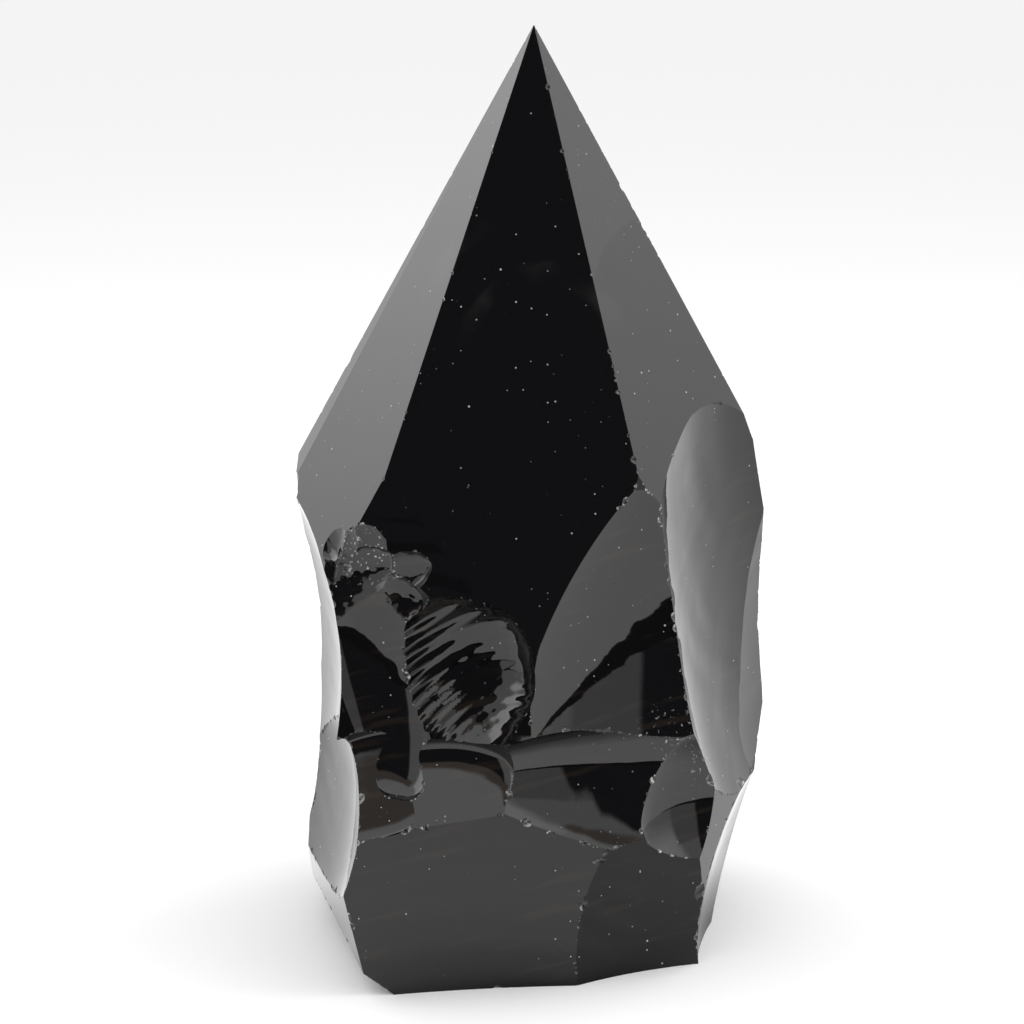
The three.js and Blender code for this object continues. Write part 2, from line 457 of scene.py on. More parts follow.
def shaped_by(obj: bpy.types.Object, tree: bpy.types.NodeTree, inputs: dict[str, object]) -> bpy.types.Mesh:
    """Run one Geometry Nodes tree on an object and return the result as a plain mesh.

    Args:
        obj: The object whose mesh goes in.
        tree: The tree to run.
        inputs: Values for the tree's named inputs.

    Returns:
        The finished mesh; the modifier is gone.
    """
    modifier = obj.modifiers.new("shape", "NODES")
    modifier.node_group = tree
    names = {item.name: item.identifier for item in tree.interface.items_tree if item.in_out == "INPUT"}
    for name, value in inputs.items():
        modifier[names[name]] = value
    return taken_from(obj, [modifier])


def taken_from(obj: bpy.types.Object, modifiers: list[bpy.types.Modifier]) -> bpy.types.Mesh:
    """Return the evaluated mesh of an object and remove the modifiers that made it.

    Args:
        obj: The object to evaluate.
        modifiers: Its modifiers, which are removed.

    Returns:
        A new mesh.
    """
    depsgraph = bpy.context.evaluated_depsgraph_get()
    mesh = bpy.data.meshes.new_from_object(obj.evaluated_get(depsgraph), depsgraph=depsgraph)
    for modifier in modifiers:
        obj.modifiers.remove(modifier)
    return mesh


def object_of(name: str, mesh: bpy.types.Mesh) -> bpy.types.Object:
    """Link a new object that holds a mesh.

    Args:
        name: The object's name.
        mesh: The mesh.

    Returns:
        The object.
    """
    obj = bpy.data.objects.new(name, mesh)
    bpy.context.scene.collection.objects.link(obj)
    return obj


# ---------------------------------------------------------------- finishes


class Surface(Bench):
    """Adds the nodes of one finish; places are in millimetres from the piece's own origin."""

    def __init__(self, name: str) -> None:
        """Start an empty material.

        Args:
            name: The material's name.
        """
        self.made = bpy.data.materials.new(name)
        self.made.use_nodes = True
        self.made.node_tree.nodes.clear()
        super().__init__(self.made.node_tree)
        coords = self.add("ShaderNodeTexCoord", None, None, "Object")
        self.place = self.scaled(coords, (1000.0, 1000.0, 1000.0))

    def scaled(self, place: Wire, factors: tuple[float, float, float]) -> Wire:
        """Return a place stretched along each axis."""
        return self.add("ShaderNodeVectorMath", {"operation": "MULTIPLY"}, [place, factors])

    def turned(self, place: Wire, angles: tuple[float, float, float]) -> Wire:
        """Turn a place about the origin.

        Args:
            place: The place to turn.
            angles: The turns about X, Y and Z, in degrees.

        Returns:
            The turned place.
        """
        radians = tuple(math.radians(angle) for angle in angles)
        settings = {"rotation_type": "EULER_XYZ"}
        return self.add("ShaderNodeVectorRotate", settings, {"Vector": place, "Rotation": radians})

    def distance(self, point: tuple[float, float, float]) -> Wire:
        """Return the distance from a point, in millimetres."""
        return self.add("ShaderNodeVectorMath", {"operation": "DISTANCE"}, [self.place, point], "Value")

    def beyond(self, point: tuple[float, float, float], way: tuple[float, float, float]) -> Wire:
        """Make a mask of what lies past a point.

        Args:
            point: Where it begins, in millimetres.
            way: The direction in which it lies.

        Returns:
            The mask.
        """
        apart = self.add("ShaderNodeVectorMath", {"operation": "SUBTRACT"}, [self.place, point])
        past = self.add("ShaderNodeVectorMath", {"operation": "DOT_PRODUCT"}, [apart, way], "Value")
        return past.between(0.0, 0.1)

    def specks(self, spacing: float, radius: float, rarity: float) -> Wire:
        """Make a mask of tiny round specks of random size.

        Args:
            spacing: The mean distance between places where a speck can lie, in millimetres.
            radius: The largest speck's radius, in millimetres.
            rarity: How strongly small specks outnumber large ones.

        Returns:
            The mask.
        """
        values = {"Vector": self.place, "Scale": 1.0 / spacing}
        node = {"voronoi_dimensions": "3D", "feature": "F1"}
        near = self.add("ShaderNodeTexVoronoi", node, values, "Distance")
        luck, _, _ = self.split(self.add("ShaderNodeTexVoronoi", node, values, "Color"))
        return 1.0 - (near * spacing / (luck ** rarity * radius + 1e-4)).between(0.6, 1.0)

    def strokes(self, angles: tuple[float, float, float], across: float, along: float,
                cover: float) -> Wire:
        """Make a mask of fine parallel strokes.

        Args:
            angles: How the strokes are turned from upright, in degrees.
            across: How many strokes there are in a millimetre.
            along: The length of one stroke, in millimetres.
            cover: How much of the surface they cover, from 0 to 1.

        Returns:
            The mask.
        """
        turned = self.turned(self.place, angles)
        fine = self.noise(self.scaled(turned, (across, across, 1.0 / along)), 1.0, 2.0)
        return fine.between(0.28 - cover * 0.3, 0.36 - cover * 0.3)

    def bumped(self, height: Wire, depth_mm: float) -> Wire:
        """Return normals raised by a height field of a given depth in millimetres."""
        values = {"Height": height, "Strength": 1.0, "Distance": depth_mm * MM}
        return self.add("ShaderNodeBump", None, values)

    def finish(self, values: dict[str, object]) -> bpy.types.Material:
        """End the tree in one glossy shader.

        Args:
            values: Constants or wires for the shader's inputs, by name.

        Returns:
            The finished material.
        """
        shader = self.add("ShaderNodeBsdfPrincipled", None, values)
        self.add("ShaderNodeOutputMaterial", None, {"Surface": shader})
        return self.made


# A pale tone for real dust, and for the painted glints on struck glass.
DUST_AND_GLINTS = (0.4, 0.4, 0.39, 1.0)
WORN = (0.5, 0.5, 0.51, 1.0)


@dataclass(frozen=True)
class BlackGlass:
    """What every finish of the stone shares: its black volcanic glass, and the dust on it."""

    name: str
    roughness: float
    colour: tuple[float, float, float, float] = (0.004, 0.004, 0.0045, 1.0)
    ior: float = 1.56
    dust_spacing_mm: float = 1.5
    dust_radius_mm: float = 0.25
    dust_rarity: float = 3.2

    def dust(self, coat: Surface) -> Wire:
        """Return a mask of dust that has settled in loose patches."""
        patches = coat.noise(coat.place, 0.05, 2.0).between(-0.2, 0.1)
        return coat.specks(self.dust_spacing_mm, self.dust_radius_mm, self.dust_rarity) * patches


@dataclass(frozen=True)
class PolishedGlass(BlackGlass):
    """Black volcanic glass ground flat and buffed, with wheel marks, haze and a little dust.

    The wheel marks lie beyond a circle about `wheel_centre`, on the side that `wheel_side` points
    to from `wheel_edge`. The haze runs in arcs about `haze_centre`. All are in millimetres.
    """

    name: str = "polished_obsidian"
    roughness: float = 0.03
    wheel_centre: tuple[float, float, float] = (27.0, 4.0, 113.0)
    wheel_radius: float = 30.0
    wheel_edge: tuple[float, float, float] = (0.35, 4.9, 180.0)
    wheel_side: tuple[float, float, float] = (0.728, 0.371, 0.041)
    haze_centre: tuple[float, float, float] = (2.0, -12.0, 120.0)
    relief_mm: float = 0.004

    def material(self) -> bpy.types.Material:
        """Build the finish.

        Returns:
            The material.
        """
        coat = Surface(self.name)
        _, _, z = coat.split(coat.place)
        haze = coat.noise(coat.place, 0.045, 3.0).between(0.02, 0.3)
        ring = (coat.distance(self.haze_centre) * 0.55 + coat.noise(coat.place, 0.1, 1.0) * 2.0).sine()
        arcs = ring.between(0.2, 1.0) * z.between(120.0, 140.0) * haze
        wheel = coat.distance(self.wheel_centre).between(self.wheel_radius - 0.4, self.wheel_radius + 0.4)
        grain = coat.noise(coat.scaled(coat.place, (3.0, 3.0, 0.25)), 1.0, 2.0) + 0.5
        brushed = wheel * coat.beyond(self.wheel_edge, self.wheel_side) * z.between(122.0, 126.0) * grain
        scratches = coat.strokes((0.0, 24.0, 0.0), 1.6, 22.0, 0.3) * haze.between(0.1, 0.7)
        marks = coat.strokes((0.0, -14.0, 0.0), 2.2, 12.0, 0.12)
        dust = self.dust(coat)
        rub = scratches * 0.7 + marks * 0.5
        veil = rub * 0.06 + arcs * 0.06 + brushed * 0.04
        rough = haze * 0.03 + arcs * 0.2 + brushed * 0.22 + rub * 0.2 + dust * 0.5 + self.roughness
        wave = coat.noise(coat.place, 0.08, 1.0) * 6.0 + brushed * 3.0 + rub * -0.4
        return coat.finish({
            "Base Color": coat.blend(dust, coat.blend(veil, self.colour, WORN), DUST_AND_GLINTS),
            "Roughness": rough, "IOR": self.ior, "Normal": coat.bumped(wave, self.relief_mm)})


@dataclass(frozen=True)
class StruckGlass(BlackGlass):
    """Black volcanic glass as the break leaves it, with fine hackle, brown flow bands and dust.

    Each bruise, a place and a reach in millimetres, is a patch of pale, finely shattered glass, painted
    paler to stand for its glints; fine pale specks in patches are painted glints too.
    """

    name: str = "struck_obsidian"
    roughness: float = 0.025
    band: tuple[float, float, float, float] = (0.012, 0.009, 0.007, 1.0)
    glint_bruises: tuple[tuple[tuple[float, float, float], float], ...] = (
        ((27.0, -30.0, 49.0), 8.0),
        ((-32.0, -24.0, 82.0), 9.0),
        ((36.0, -24.0, 42.0), 9.0),
        ((-35.5, -34.0, 13.0), 9.0),
    )
    relief_mm: float = 0.006

    def material(self) -> bpy.types.Material:
        """Build the finish.

        Returns:
            The material.
        """
        coat = Surface(self.name)
        haze = coat.noise(coat.place, 0.06, 2.0).between(0.0, 0.3)
        layers = coat.scaled(coat.turned(coat.place, (0.0, 12.0, 0.0)), (0.05, 0.05, 0.5))
        flow = coat.noise(layers, 1.0, 2.0)
        strokes = coat.strokes((0.0, 30.0, 0.0), 1.8, 9.0, 0.1) * haze
        # Painted glints: tiny pale specks in patches stand for sparkles of light.
        painted_glint_specks = coat.specks(1.1, 0.12, 6.0) * coat.noise(coat.place, 0.07, 2.0).between(0.05, 0.2)
        # Painted glints: pale patches round each bruise, added to the dust mask below.
        bruise_glints = sum(1.0 - coat.distance(spot).between(1.0, reach) for spot, reach in self.glint_bruises)
        dust = self.dust(coat) + coat.noise(coat.place, 1.3, 3.0).between(0.12, 0.2) * bruise_glints
        glass = coat.blend(flow.between(0.08, 0.2), self.colour, self.band)
        rough = haze * 0.03 + strokes * 0.15 + dust * 0.4 + self.roughness
        fine = coat.noise(coat.place, 2.5, 2.0) * haze * 0.15
        wave = coat.noise(coat.place, 0.25, 2.0) * 2.0 + strokes * 0.8 + fine
        # The pale tone goes where dust lies and where glints are painted.
        return coat.finish({
            "Base Color": coat.blend(dust + painted_glint_specks, glass, DUST_AND_GLINTS), "Roughness": rough, "IOR": self.ior,
            "Normal": coat.bumped(wave, self.relief_mm)})


@dataclass(frozen=True)
class CrushedGlass(BlackGlass):
    """The powdered glass of small chips along an edge; its pale patches are partly its own paleness and
    partly painted glints and painted light shining through thin glass.
    """

    name: str = "crushed_obsidian"
    roughness: float = 0.06
    colour: tuple[float, float, float, float] = (0.015, 0.017, 0.016, 1.0)
    # Pale tone of powdered glass, which also stands for painted glints and painted light through thin
    # edges.
    pale: tuple[float, float, float, float] = (0.62, 0.63, 0.6, 1.0)
    relief_mm: float = 0.15

    def material(self) -> bpy.types.Material:
        """Build the finish.

        Returns:
            The material.
        """
        coat = Surface(self.name)
        patch = coat.noise(coat.place, 0.09, 2.0).between(-0.12, 0.15)
        # Painted glints: pale patches of powdered glass, with painted light through thin glass.
        crushed_and_glinting = patch * coat.noise(coat.place, 1.4, 3.0).between(-0.05, 0.22)
        return coat.finish({
            "Base Color": coat.blend(crushed_and_glinting, self.colour, self.pale),
            "Roughness": crushed_and_glinting * 0.3 + self.roughness, "IOR": self.ior,
            "Normal": coat.bumped(coat.noise(coat.place, 2.2, 3.0), self.relief_mm)})


# ---------------------------------------------------------------- cutting


def struck_with(body: bpy.types.Object, tools: list[bpy.types.Object]) -> bpy.types.Object:
    """Take a list of closed shapes off a body and remove them.

    Args:
        body: The body to cut.
        tools: The shapes to take off it.

    Returns:
        The body with its new mesh.
    """
    group = bpy.data.collections.new("tools")
    for tool in tools:
        group.objects.link(tool)
    cut = body.modifiers.new("strike", "BOOLEAN")
    cut.operation = "DIFFERENCE"
    cut.operand_type = "COLLECTION"
    cut.collection = group
    cut.solver = "MANIFOLD"
    cut.material_mode = "TRANSFER"
    body.data = taken_from(body, [cut])
    for tool in tools:
        bpy.data.objects.remove(tool)
    bpy.data.collections.remove(group)
    return body


def cut_flat(shape: bmesh.types.BMesh, at: tuple[float, float, float], outward: Vector, skin: int) -> None:
    """Take everything outside a plane off a closed shape and close the cut.

    Args:
        shape: The shape to trim.
        at: A point on the plane.
        outward: The side that goes.
        skin: The material number of the new face.
    """
    whole = [*shape.verts, *shape.edges, *shape.faces]
    bmesh.ops.bisect_plane(shape, geom=whole, plane_co=at, plane_no=outward, clear_outer=True)
    rim = [edge for edge in shape.edges if edge.is_boundary]
    for face in bmesh.ops.holes_fill(shape, edges=rim, sides=0)["faces"]:
        face.material_index = skin
        face.smooth = False


def mark_faces(mesh: bpy.types.Mesh, number: int) -> None:
    """Write one cut's number on every face of a mesh."""
    marks = mesh.attributes.new(SCAR_ID, "INT", "FACE")
    marks.data.foreach_set("value", np.full(len(mesh.polygons), number, dtype=np.int32))


def keep_largest(mesh: bpy.types.Mesh) -> None:
    """Drop every loose crumb, so that the stone is one solid.

    Args:
        mesh: The cut stone.
    """
    shape = bmesh.new()
    shape.from_mesh(mesh)
    left = set(shape.verts)
    pieces = []
    while left:
        queue = [left.pop()]
        piece = list(queue)
        while queue:
            for edge in queue.pop().link_edges:
                for vert in edge.verts:
                    if vert in left:
                        left.remove(vert)
                        queue.append(vert)
                        piece.append(vert)
        pieces.append(piece)
    pieces.sort(key=len)
    for crumb in pieces[:-1]:
        bmesh.ops.delete(shape, geom=crumb, context="VERTS")
    LOG.info("%d crumbs dropped", len(pieces) - 1)
    shape.to_mesh(mesh)
    shape.free()


def sharpen(mesh: bpy.types.Mesh, planes: tuple[Plane, ...]) -> None:
    """Shade each scar smooth, each flat cut truly flat, and keep the edges between cuts sharp.

    Args:
        mesh: The finished stone.
        planes: The flat cuts, in the order of their numbers.
    """
    shape = bmesh.new()
    shape.from_mesh(mesh)
    scar = shape.faces.layers.int[SCAR_ID]
    for face in shape.faces:
        face.smooth = True
    for edge in shape.edges:
        pair = edge.link_faces
        same = len(pair) == 2 and pair[0][scar] == pair[1][scar]
        edge.smooth = same and (pair[0][scar] < 0 or edge.calc_face_angle(0.0) < math.radians(SHARP_TURN))
    shape.to_mesh(mesh)
    shape.free()
    marks = np.empty(len(mesh.polygons), dtype=np.int32)
    mesh.attributes[SCAR_ID].data.foreach_get("value", marks)
    outs = np.array([(0.0, 0.0, 0.0), *(plane.outward()[:] for plane in planes)])
    corners = np.empty(len(mesh.polygons), dtype=np.int32)
    mesh.polygons.foreach_get("loop_total", corners)
    mesh.normals_split_custom_set(np.repeat(outs[np.maximum(-marks, 0)], corners, axis=0).tolist())


# ---------------------------------------------------------------- the stone


@dataclass(frozen=True)
class FlakeLens:
    """Makes the lens of glass that leaves one scar, with the scar's ripples on its hollow side.

    It starts as a unit ball whose lower half is a fine even grid and becomes the hollow. Coarse
    rings at the angles of `lid_rings`, in degrees, close the upper half, which stays in the air.
    """

    grain_mm: float = 0.9
    least_steps: int = 20
    bowl_arc: float = 1.3
    lid_rings: tuple[float, ...] = (15.0, 32.0, 50.0, 68.0)

    def ball(self, steps: int) -> bpy.types.Mesh:
        """Return the unit ball.

        Args:
            steps: The number of quads across its lower half.

        Returns:
            A closed mesh.
        """
        line = np.linspace(-1.0, 1.0, steps + 1)
        flat_x, flat_y = np.meshgrid(line, line, indexing="xy")
        disc_x = flat_x * np.sqrt(1 - flat_y ** 2 / 2)
        disc_y = flat_y * np.sqrt(1 - flat_x ** 2 / 2)
        disc = np.stack([disc_x, disc_y], axis=-1)
        radius = np.linalg.norm(disc, axis=-1)
        angle = radius * math.pi / 2
        spread = np.where(radius > 0, np.sin(angle) / np.maximum(radius, TINY), math.pi / 2)
        bowl = np.concatenate([disc * spread[..., None], -np.cos(angle)[..., None]], axis=-1).reshape(-1, 3)
        index = np.arange((steps + 1) ** 2).reshape(steps + 1, steps + 1)
        cells = np.stack([index[:-1, :-1], index[1:, :-1], index[1:, 1:], index[:-1, 1:]], axis=-1)
        quads = [cells.reshape(-1, 4)]
        ring = np.concatenate([index[0, :-1], index[:-1, -1], index[-1, :0:-1], index[:0:-1, 0]])
        rim = bowl[ring, :2]
        points, count = [bowl], len(bowl)
        for degrees in self.lid_rings:
            lift = math.radians(degrees)
            points.append(np.column_stack([rim * math.cos(lift), np.full(len(ring), math.sin(lift))]))
            above = np.arange(count, count + len(ring))
            quads.append(np.stack([ring, np.roll(ring, -1), np.roll(above, -1), above], axis=-1))
            ring, count = above, count + len(ring)
        points.append(np.array([[0.0, 0.0, 1.0]]))
        lid = [(int(first), int(second), count) for first, second in zip(ring, np.roll(ring, -1))]
        mesh = bpy.data.meshes.new("ball")
        mesh.from_pydata(np.concatenate(points).tolist(), [], np.concatenate(quads).tolist() + lid)
        return mesh

    def tree(self) -> bpy.types.NodeTree:
        """Build the tree that turns the unit ball into a lens and ripples its hollow side.

        Returns:
            The tree, with a scar's sizes as its named inputs.
        """
        bench = GeometryBench("flake_lens")
        half = bench.take("Half Size", "Vector", None)
        taper = bench.take("Taper", "Float", 0.0)
        square = bench.take("Squareness", "Float", 2.0)
        level = bench.take("Flatness", "Float", 2.0)
        strike = bench.take("Strike", "Vector", None)
        height = bench.take("Ripple Height", "Float", 0.02)
        length = bench.take("Ripple Length", "Float", 7.0)
        streaks = bench.take("Streaks", "Float", 0.01)
        swell = bench.take("Swell", "Float", 0.3)
        hackle = bench.take("Hackle", "Float", 0.0)
        wander = bench.take("Wander", "Float", 1.0)
        seed = bench.take("Seed", "Float", 0.0)
        material = bench.take("Material", "Material", None)

        # The outline: an oval or a box with rounded ends, wider at one end, that strays a little.
        across, along, out = bench.split(bench.add("GeometryNodeInputPosition"))
        across = across + OFF_CENTRE
        half_x, half_y, half_z = bench.split(half)
        radius = (across * across + along * along + TINY) ** 0.5
        lean_x, lean_y = (across / radius).size(), (along / radius).size()
        boxy = (lean_x ** square + lean_y ** square + TINY) ** (-1.0 / square)
        around = bench.join(across * 0.9, along * 0.9, seed * 5.0)
        stray = bench.noise(around, 1.0, 1.0) * wander * 0.25 + 1.0
        flat_x = across * boxy * (along * taper + 1.0) * half_x * stray
        flat_y = along * boxy * half_y * stray

        # The relief: rings round the strike point, streaks that fan out of it, swell and hackle.
        strike_x, strike_y, _ = bench.split(strike)
        away_x, away_y = flat_x - strike_x * half_x, flat_y - strike_y * half_y
        far = (away_x * away_x + away_y * away_y) ** 0.5
        bearing = bench.add("ShaderNodeMath", {"operation": "ARCTAN2"}, [away_x, away_y])
        flat = bench.join(flat_x, flat_y, seed * 40.0)
        strength = bench.noise(flat, 0.05, 1.0).between(-0.08, 0.12)
        phase = far / length + bench.noise(flat, 0.03, 1.0) * 2.5
        rings = (phase * math.tau).sine() * height * (strength + 0.15)
        fan = bench.noise(bench.join(bearing * 9.0, far * 0.03, seed * 7.0), 1.0, 3.0) * streaks * 4.0
        broad = bench.noise(flat, 0.03, 0.0) * swell * 2.0
        rough = bench.noise(flat, 0.3, 3.0) * hackle * 2.0
        relief = (rings + fan + broad + rough) * (0.3 - out).between(0.3, 0.6)

        # The depth: hollow below the rim, and tall above it to clear the block.
        hollow = (1.0 - radius ** level + TINY) ** (1.0 / level)
        inner = bench.add("ShaderNodeMath", {"operation": "LESS_THAN"}, [out, 0.0]) * hollow * -1.0
        outer = bench.add("ShaderNodeMath", {"operation": "MAXIMUM"}, [out, 0.0])
        depth = inner * half_z + outer * LENS_BACK_MM + relief
        moved = bench.add("GeometryNodeSetPosition", None, {
            "Geometry": bench.geometry(), "Position": bench.join(flat_x, flat_y, depth)})
        bench.finish(moved, material)
        return bench.tree

    def struck(self, scar: Scar, number: int, tree: bpy.types.NodeTree,
               skin: bpy.types.Material) -> bpy.types.Object:
        """Make the lens of one scar, in its place.

        Args:
            scar: The scar that it leaves.
            number: The scar's place in the list, which seeds its ripples and marks its faces.
            tree: The lens tree.
            skin: The finish of the scar.

        Returns:
            The lens as an object.
        """
        half, ripples = scar.half_sizes(), scar.ripples
        rows = round(self.bowl_arc * max(half.x, half.y) / (self.grain_mm * scar.grain))
        lens = object_of(f"flake_{scar.name}", self.ball(max(self.least_steps, 2 * rows)))
        mesh = shaped_by(lens, tree, {
            "Half Size": half, "Taper": scar.taper, "Squareness": scar.square, "Flatness": scar.flat,
            "Strike": (*ripples.strike, 0.0), "Ripple Height": ripples.height,
            "Ripple Length": ripples.length, "Streaks": ripples.streaks, "Swell": ripples.swell,
            "Hackle": ripples.hackle, "Wander": ripples.wander, "Seed": float(number),
            "Material": skin})
        mesh.transform(scar.placement())
        shape = bmesh.new()
        shape.from_mesh(mesh)
        for plane in scar.above:
            cut_flat(shape, plane.at, -plane.outward(), Skin.POLISHED.value)
        bmesh.ops.recalc_face_normals(shape, faces=shape.faces)
        shape.to_mesh(mesh)
        shape.free()
        mark_faces(mesh, number + 1)
        lens.data = mesh
        return lens


@dataclass(frozen=True)
class EdgeWear:
    """Small chips knocked out of the stone's outer edges, more where two broken faces meet.

    Each wear is the chance of a chip at one spot, from 0 to 1, for an edge between two polished
    faces, one of each kind, or two struck ones. The edge between the two `nicked` cuts is worn
    more above a height. A chip is a pebble that is sunk into the edge by part of its size, and
    the pebbles are taken off in a few turns, so that those of one turn lie well apart.
    """

    spacing_mm: float = 0.9
    turns: int = 4
    least_turn: float = 25.0
    polished_wear: float = 0.2
    mixed_wear: float = 0.5
    struck_wear: float = 1.0
    foot_mm: float = 1.0
    foot_share: float = 0.4
    nicked: frozenset[int] = frozenset({-1, -3})
    nicked_from_mm: float = 130.0
    nicked_wear: float = 0.9
    least_size_mm: float = 0.35
    size_range_mm: float = 1.7
    sunk: tuple[float, float] = (0.45, 0.8)
    length: tuple[float, float] = (0.7, 1.6)
    thickness: tuple[float, float] = (0.6, 1.0)
    seed: int = 4

    def stretches(self, edge: bmesh.types.BMEdge, marks: set[int]) -> list[tuple[Vector, Vector, float]]:
        """Split one edge into the parts that wear alike.

        Args:
            edge: An outer edge of the stone.
            marks: The numbers of the two cuts that meet there.

        Returns:
            The two ends and the wear of each part.
        """
        struck = sum(face.material_index > 0 for face in edge.link_faces)
        wear = (self.polished_wear, self.mixed_wear, self.struck_wear)[struck]
        low_end, high_end = sorted((vert.co.copy() for vert in edge.verts), key=lambda spot: spot.z)
        if high_end.z < self.foot_mm:
            wear *= self.foot_share
        if marks != self.nicked or not low_end.z < self.nicked_from_mm < high_end.z:
            return [(low_end, high_end, wear)]
        share = (self.nicked_from_mm - low_end.z) / (high_end.z - low_end.z)
        middle = low_end.lerp(high_end, share)
        return [(low_end, middle, wear), (middle, high_end, self.nicked_wear)]

    def edges(self, stone: bpy.types.Mesh) -> bpy.types.Object:
        """Draw the stone's outer edges as wires that carry their outward direction and wear.

        Args:
            stone: The cut stone, in millimetres.

        Returns:
            The wires as an object.
        """
        shape = bmesh.new()
        shape.from_mesh(stone)
        scar = shape.faces.layers.int[SCAR_ID]
        points, wires, outs, wears = [], [], [], []
        for edge in shape.edges:
            if len(edge.link_faces) != 2 or edge.calc_face_angle_signed() < math.radians(self.least_turn):
                continue
            first, second = edge.link_faces
            if first[scar] == second[scar]:
                continue
            outward = (first.normal + second.normal).normalized()
            for begin, end, wear in self.stretches(edge, {first[scar], second[scar]}):
                wires.append((len(points), len(points) + 1))
                points += [tuple(begin), tuple(end)]
                outs += [tuple(outward)] * 2
                wears += [wear] * 2
        shape.free()
        mesh = bpy.data.meshes.new("worn_edges")
        mesh.from_pydata(points, wires, [])
        out_marks = mesh.attributes.new(EDGE_OUT, "FLOAT_VECTOR", "POINT")
        out_marks.data.foreach_set("vector", np.array(outs).ravel())
        wear_marks = mesh.attributes.new(EDGE_WEAR, "FLOAT", "POINT")
        wear_marks.data.foreach_set("value", np.array(wears))
        return object_of("worn_edges", mesh)

    def tree(self) -> bpy.types.NodeTree:
        """Build the tree that sets pebbles of random size along wires, each sunk into the edge.

        Returns:
            The tree; its Turn input picks every fourth spot or so, which keeps pebbles apart.
        """
        bench = GeometryBench("edge_chips")
        spacing = bench.take("Spacing", "Float", 0.5)
        seed = bench.take("Seed", "Int", 0)
        material = bench.take("Material", "Material", None)
        turn = bench.take("Turn", "Int", 0)
        turns = bench.take("Turns", "Int", 1)
        loose = {"Geometry": bench.geometry(), "Distance": 0.001}
        joined = bench.add("GeometryNodeMergeByDistance", None, loose)
        curve = bench.add("GeometryNodeMeshToCurve", None, [joined])
        even = bench.add("GeometryNodeResampleCurve", {"mode": "LENGTH"}, {
            "Curve": curve, "Length": spacing})
        spots = bench.add("GeometryNodeCurveToPoints", {"mode": "EVALUATED"}, [even])
        out = bench.add("GeometryNodeInputNamedAttribute", {"data_type": "FLOAT_VECTOR"}, [EDGE_OUT])
        wear = bench.add("GeometryNodeInputNamedAttribute", {"data_type": "FLOAT"}, [EDGE_WEAR])
        place = bench.add("GeometryNodeInputPosition")

        # Which spots are chipped: more in some patches than in others, and only this turn's.
        chance = bench.chance(seed, 0.0, 1.0)
        patch = bench.noise(place, 0.12, 2.0).between(-0.14, 0.16)
        likely = wear * (patch * 0.9 + 0.1)
        chosen = bench.add("ShaderNodeMath", {"operation": "LESS_THAN"}, [chance, likely])
        index = bench.add("GeometryNodeInputIndex")
        place_in_turn = bench.add("ShaderNodeMath", {"operation": "MODULO"}, [index, turns])
        mine = bench.add("ShaderNodeMath", {"operation": "COMPARE"}, [place_in_turn, turn, 0.5])

        # How large each pebble is, how far it stands off the edge, and how it is turned.
        luck = bench.chance(seed + 1.0, 0.0, 1.0)
        size = luck ** 3.0 * self.size_range_mm + self.least_size_mm
        size = size * (wear * 0.75 + 0.25) * (patch * 0.6 + 0.4)
        lift = size * bench.chance(seed + 2.0, *self.sunk)
        shift = bench.add("ShaderNodeVectorMath", {"operation": "SCALE"}, {0: out, "Scale": lift})
        set_out = bench.add("GeometryNodeSetPosition", None, {"Geometry": spots, "Offset": shift})
        pebble = bench.add("GeometryNodeMeshIcoSphere", None, {"Radius": 1.0, "Subdivisions": 2})
        roll = bench.chance(seed + 3.0, 0.0, WHOLE_TURN)
        pitch = bench.chance(seed + 4.0, 0.0, WHOLE_TURN)
        long = size * bench.chance(seed + 5.0, *self.length)
        thin = size * bench.chance(seed + 6.0, *self.thickness)
        placed = bench.add("GeometryNodeInstanceOnPoints", None, {
            "Points": set_out, "Selection": chosen * mine, "Instance": pebble,
            "Rotation": bench.join(roll, pitch, 0.0), "Scale": bench.join(long, size, thin)})
        bench.finish(placed, material)
        return bench.tree

    def chips(self, stone: bpy.types.Mesh, skin: bpy.types.Material) -> list[bpy.types.Object]:
        """Make the chips as closed pebbles.

        Args:
            stone: The cut stone, in millimetres.
            skin: The finish that the chips leave.

        Returns:
            One object for each turn, whose pebbles lie well apart.
        """
        wires, tree, made = self.edges(stone), self.tree(), []
        for turn in range(self.turns):
            mesh = shaped_by(wires, tree, {
                "Spacing": self.spacing_mm, "Seed": self.seed, "Turn": turn, "Turns": self.turns,
                "Material": skin})
            mark_faces(mesh, CHIP_ID)
            made.append(object_of(f"chips_{turn}", mesh))
            LOG.info("chips of turn %d have %d faces", turn, len(mesh.polygons))
        bpy.data.objects.remove(wires)
        return made


